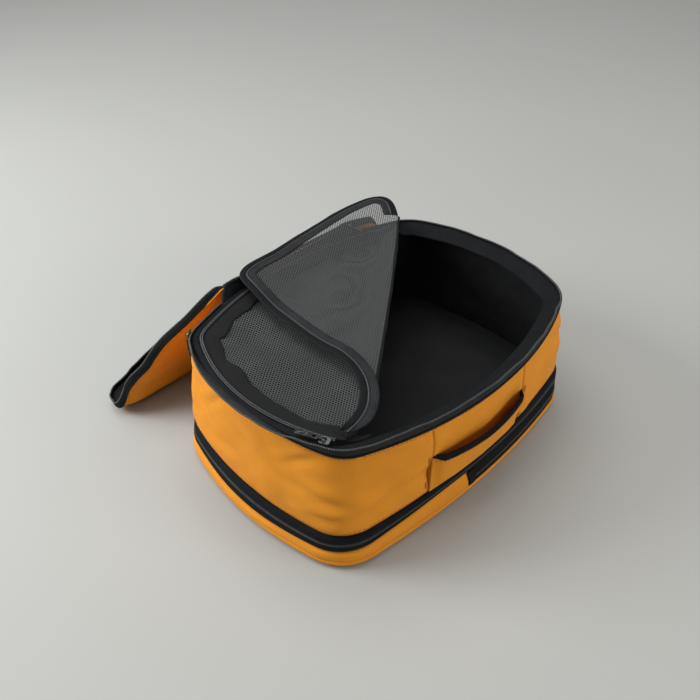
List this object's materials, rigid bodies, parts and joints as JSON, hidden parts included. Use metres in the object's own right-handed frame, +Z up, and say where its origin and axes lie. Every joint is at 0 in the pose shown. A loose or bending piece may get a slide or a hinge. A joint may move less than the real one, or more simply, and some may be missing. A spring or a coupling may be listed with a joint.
{
  "type": "packing cube",
  "caption": "Zipped travel packing cube with expansion zip, lower compartment, mesh inner cover, grab handle and hinged fabric lid, shown open.",
  "frame": {"origin": "centre of the body's footprint, on the ground", "axes": "+X along the long side, +Y toward the side where the lid is hinged, +Z up"},
  "size_m": [0.3905, 0.4976, 0.1592],
  "materials": {
    "orange_fabric": "matte recycled-polyester weave",
    "black_tape": "matte woven tape",
    "lining": "smooth lining cloth",
    "mesh": "open knitted mesh",
    "webbing": "ribbed webbing",
    "zip_coil": "satin nylon coil",
    "slider_metal": "satin black enamel",
    "zip_pull": "satin black enamel",
    "thread": "stitched thread"
  },
  "bodies": {
    "base": {"bottom_panel": "orange_fabric", "bottom_lip": "orange_fabric", "base_wall": "orange_fabric", "lower_zip_tape_bottom": "black_tape", "lower_zip_coil": "zip_coil", "lower_zip_tape_top": "black_tape", "lower_zip_end_tab": "black_tape", "divider_panel": "lining", "expansion_tape_lower": "black_tape", "expansion_coil_lower": "zip_coil"},
    "upper": {"expansion_coil_upper": "zip_coil", "expansion_tape_upper": "black_tape", "expansion_gusset": "orange_fabric", "side_wall_left": "orange_fabric", "side_wall_right": "orange_fabric", "front_panel": "orange_fabric", "back_panel": "orange_fabric", "wall_lining": "lining", "rim_binding": "black_tape", "lid_zip_tape_body": "black_tape", "lid_zip_coil_body": "zip_coil", "lid_hinge_strip": "black_tape", "handle_bartacks": "thread", "mesh_cover_fixed": "mesh", "mesh_border_fixed": "black_tape", "mesh_zip_coil_fixed": "zip_coil", "mesh_zip_coil_body": "zip_coil"},
    "handle": {"handle_band": "orange_fabric", "handle_webbing": "webbing"},
    "lid_upper": {"lid_panel_upper": "orange_fabric", "lid_lining_upper": "lining", "lid_zip_tape_upper": "black_tape", "lid_zip_coil_upper": "zip_coil"},
    "lid_lower": {"lid_panel_lower": "orange_fabric", "lid_lining_lower": "lining", "lid_zip_tape_lower": "black_tape", "lid_zip_coil_lower": "zip_coil"},
    "mesh_flap": {"mesh_cover_flap": "mesh", "mesh_border_flap": "black_tape", "mesh_zip_coil_flap": "zip_coil"},
    "mesh_slider": {"mesh_slider": "slider_metal"},
    "mesh_slider_pull": {"mesh_slider_pull": "zip_pull"},
    "lid_slider": {"lid_slider": "slider_metal"},
    "lid_slider_pull": {"lid_slider_pull": "zip_pull"},
    "expansion_slider": {"expansion_slider": "slider_metal"},
    "expansion_slider_pull": {"expansion_slider_pull": "zip_pull"},
    "lower_slider": {"lower_slider": "slider_metal"},
    "lower_slider_pull": {"lower_slider_pull": "zip_pull"}
  },
  "joints": [
    {"name": "expansion", "type": "slide", "parent": "base", "child": "upper", "axis": [0, 0, 1], "range_m": [0, 0.04], "deforming": ["expansion_gusset"]},
    {"name": "lid_hinge", "type": "hinge", "parent": "upper", "child": "lid_upper", "pos_m": [0, 0.1465, 0.1558], "axis": [1, 0, 0], "range_deg": [0, 248]},
    {"name": "lid_fold", "type": "hinge", "parent": "lid_upper", "child": "lid_lower", "pos_m": [0, 0.20872, 0.0018], "axis": [1, 0, 0], "range_deg": [-68, 0]},
    {"name": "mesh_fold", "type": "hinge", "parent": "upper", "child": "mesh_flap", "pos_m": [0.14, 0.108, 0.1522], "axis": [0.7805, 0.6252, 0], "range_deg": [0, 180], "deforming": ["mesh_cover_flap", "mesh_border_flap", "mesh_zip_coil_flap"]},
    {"name": "handle_swing", "type": "hinge", "parent": "upper", "child": "handle", "pos_m": [-0.012, -0.138, 0.05], "axis": [1, 0, 0], "range_deg": [0, 15]},
    {"name": "mesh_slider_run", "type": "hinge", "parent": "upper", "child": "mesh_slider", "pos_m": [-0.1269, -0.07431, 0.1486], "axis": [0, 0, 1], "range_deg": [-3, 44]},
    {"name": "mesh_pull_swing", "type": "hinge", "parent": "mesh_slider", "child": "mesh_slider_pull", "pos_m": [-0.16519, -0.09217, 0.1517], "axis": [0.9063, 0.4226, 0], "range_deg": [0, 180]},
    {"name": "lid_slider_run", "type": "hinge", "parent": "upper", "child": "lid_slider", "pos_m": [-0.1269, 0.07431, 0.1455], "axis": [0, 0, 1], "range_deg": [-4, 26]},
    {"name": "lid_pull_swing", "type": "hinge", "parent": "lid_slider", "child": "lid_slider_pull", "pos_m": [-0.16076, 0.11765, 0.1455], "axis": [0.788, 0.6157, 0], "range_deg": [0, 120]},
    {"name": "expansion_slider_run", "type": "hinge", "parent": "upper", "child": "expansion_slider", "pos_m": [-0.0484, 0, 0.038], "axis": [0, 0, 1], "range_deg": [-9, 5]},
    {"name": "expansion_pull_swing", "type": "hinge", "parent": "expansion_slider", "child": "expansion_slider_pull", "pos_m": [0.19547, -0.02134, 0.038], "axis": [-0.0872, -0.9962, 0], "range_deg": [0, 120]},
    {"name": "lower_slider_run", "type": "hinge", "parent": "base", "child": "lower_slider", "pos_m": [-0.0484, 0, 0.0175], "axis": [0, 0, 1], "range_deg": [0, 7]},
    {"name": "lower_pull_swing", "type": "hinge", "parent": "lower_slider", "child": "lower_slider_pull", "pos_m": [0.19506, 0.02559, 0.0175], "axis": [0, 0, -1], "range_deg": [0, 110]}
  ],
  "couplings": [
    {"joint": "lid_fold", "follows": "lid_hinge", "ratio": -0.27419}
  ]
}
